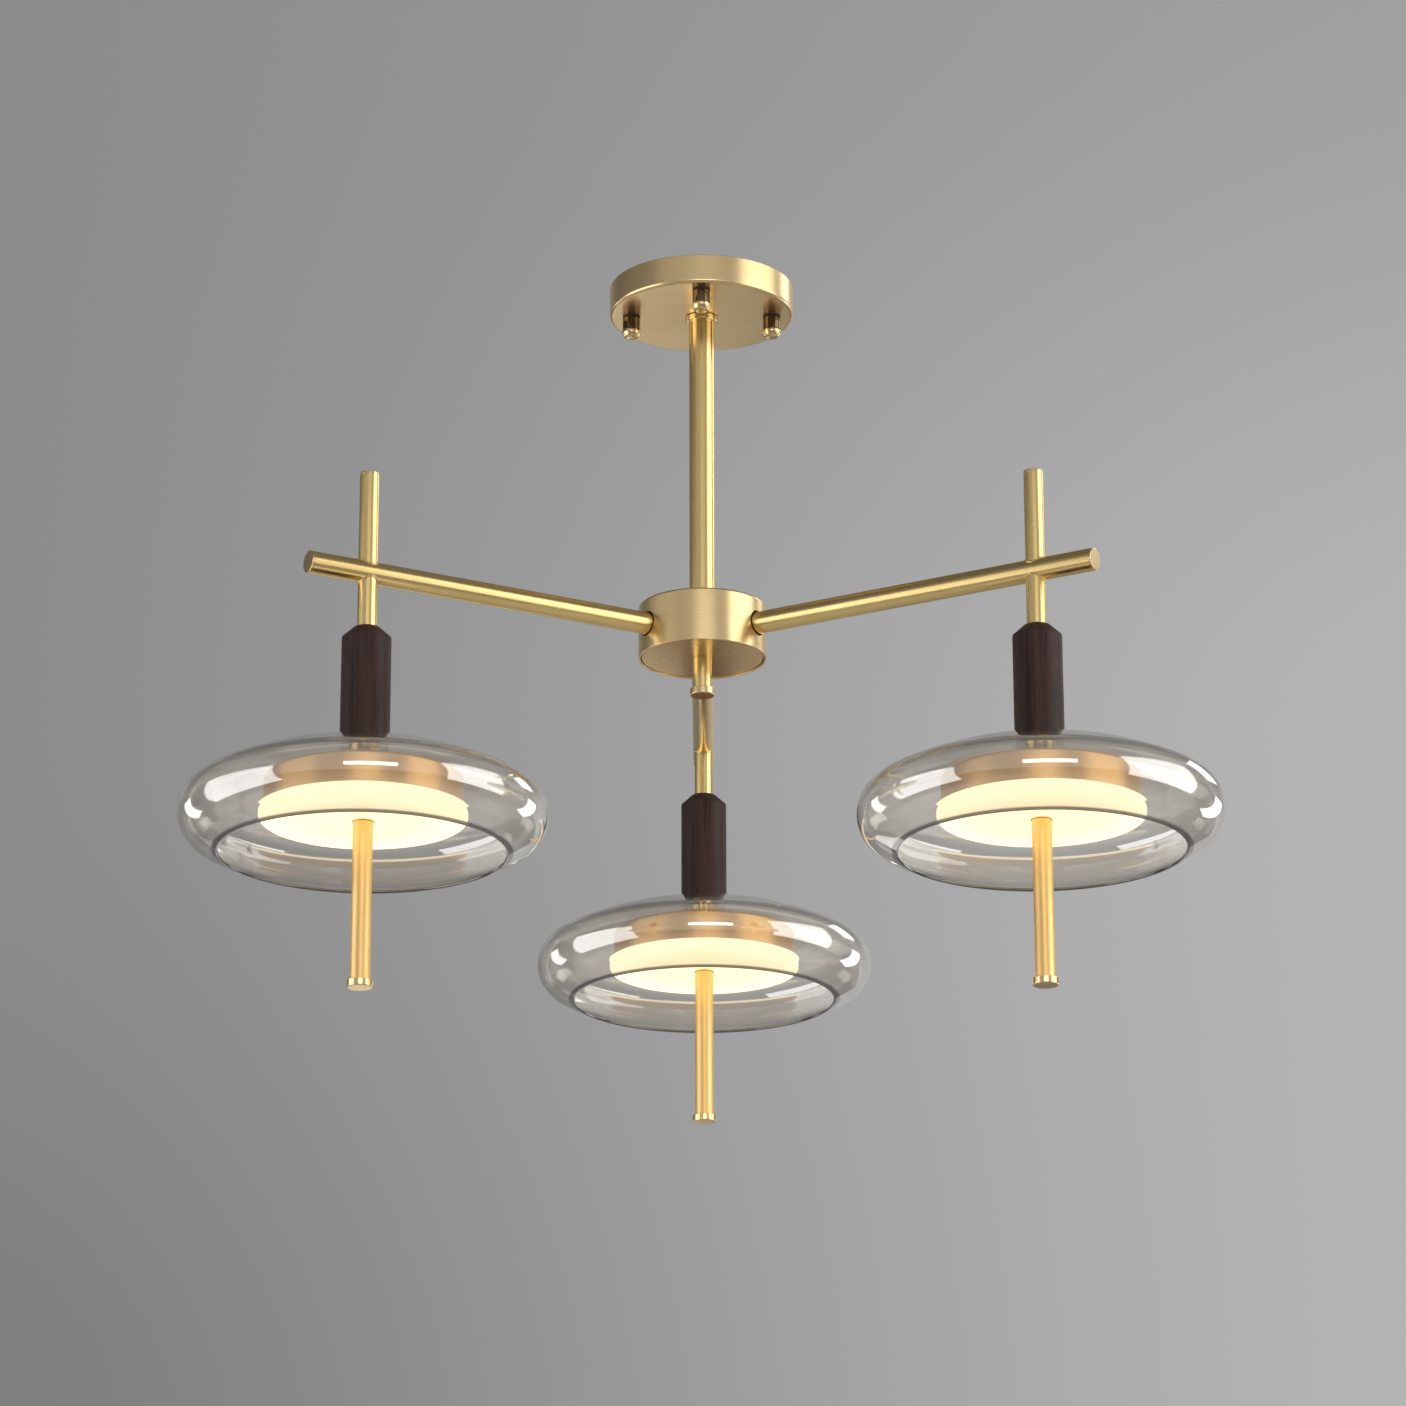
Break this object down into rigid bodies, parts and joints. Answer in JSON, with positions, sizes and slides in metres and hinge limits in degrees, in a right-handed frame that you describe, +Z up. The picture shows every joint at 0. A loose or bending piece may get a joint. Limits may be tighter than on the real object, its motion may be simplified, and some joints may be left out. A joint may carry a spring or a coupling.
{
  "type": "multi arm chandelier",
  "caption": "Rod-hung chandelier: canopy, stem and hub carry horizontal tube arms, each with a walnut handle, a flattened smoked-glass shade and a lit LED head.",
  "frame": {"origin": "centre of the ceiling bracket's upper face, where it meets the ceiling; the lamp hangs below it", "axes": "+Z up into the ceiling along the stem, +Y along the back arm, +X to the right arm's side"},
  "size_m": [0.6226, 0.5687, 0.4906],
  "materials": {
    "spun_brass": "satin brushed, spun round the axis",
    "tube_brass": "satin brushed along the tube",
    "turned_brass": "fine turned satin",
    "raw_brass": "plain machined",
    "steel": "zinc plated",
    "black_fibre": "matte fibre washer",
    "nylon": "natural nylon",
    "driver_case": "moulded white",
    "foam_pad": "foam tape",
    "green_screw": "green passivated",
    "wire_insulation": "soft insulation",
    "walnut": "dark walnut, satin oil",
    "silicone": "soft silicone",
    "white_board": "white solder mask",
    "led_phosphor": "yellow phosphor",
    "opal_diffuser": "opal, lit warm white",
    "smoked_glass": "clear smoke-tinted blown glass"
  },
  "bodies": {
    "ceiling_mount": {"ceiling_bracket": "steel", "canopy_studs": "steel", "stud_lock_nuts": "steel", "canopy": "spun_brass", "canopy_washers": "black_fibre", "canopy_cap_nuts": "turned_brass", "canopy_inner_plate": "steel", "swivel_bushing": "nylon", "stop_pin": "steel", "led_driver": "driver_case", "terminal_block": "nylon", "mounting_pads": "foam_pad", "ground_screw": "green_screw", "canopy_wires": "wire_insulation"},
    "fixture": {"stem": "tube_brass", "stem_nut": "steel", "stem_collar": "turned_brass", "collar_grub_screw": "steel", "stem_plug": "raw_brass", "centre_nipple": "raw_brass", "hub_shell": "spun_brass", "arm_block": "raw_brass", "arm_grub_screws": "steel", "hub_lock_washer": "steel", "hub_lock_nut": "steel", "hub_cover": "spun_brass", "finial_rod": "tube_brass", "finial_cap": "turned_brass", "left_arm": "tube_brass", "right_arm": "tube_brass", "back_arm": "tube_brass", "arm_end_plugs": "turned_brass", "left_lamp_rod": "tube_brass", "right_lamp_rod": "tube_brass", "back_lamp_rod": "tube_brass", "rod_top_plugs": "turned_brass", "left_handle": "walnut", "right_handle": "walnut", "back_handle": "walnut", "handle_nipples": "raw_brass", "left_shade": "smoked_glass", "right_shade": "smoked_glass", "back_shade": "smoked_glass", "shade_gaskets": "silicone", "shade_spacers": "turned_brass", "left_pan": "spun_brass", "right_pan": "spun_brass", "back_pan": "spun_brass", "pan_lock_nuts": "steel", "led_boards": "white_board", "leds": "led_phosphor", "left_diffuser": "opal_diffuser", "right_diffuser": "opal_diffuser", "back_diffuser": "opal_diffuser", "left_lower_rod": "tube_brass", "right_lower_rod": "tube_brass", "back_lower_rod": "tube_brass", "rod_ferrules": "raw_brass", "lower_caps": "turned_brass", "lamp_wires": "wire_insulation"}
  },
  "joints": [
    {"name": "stem_swivel", "type": "hinge", "parent": "ceiling_mount", "child": "fixture", "pos_m": [0, 0, -0.0165], "axis": [0, 0, 1], "range_deg": [-165, 165]}
  ]
}
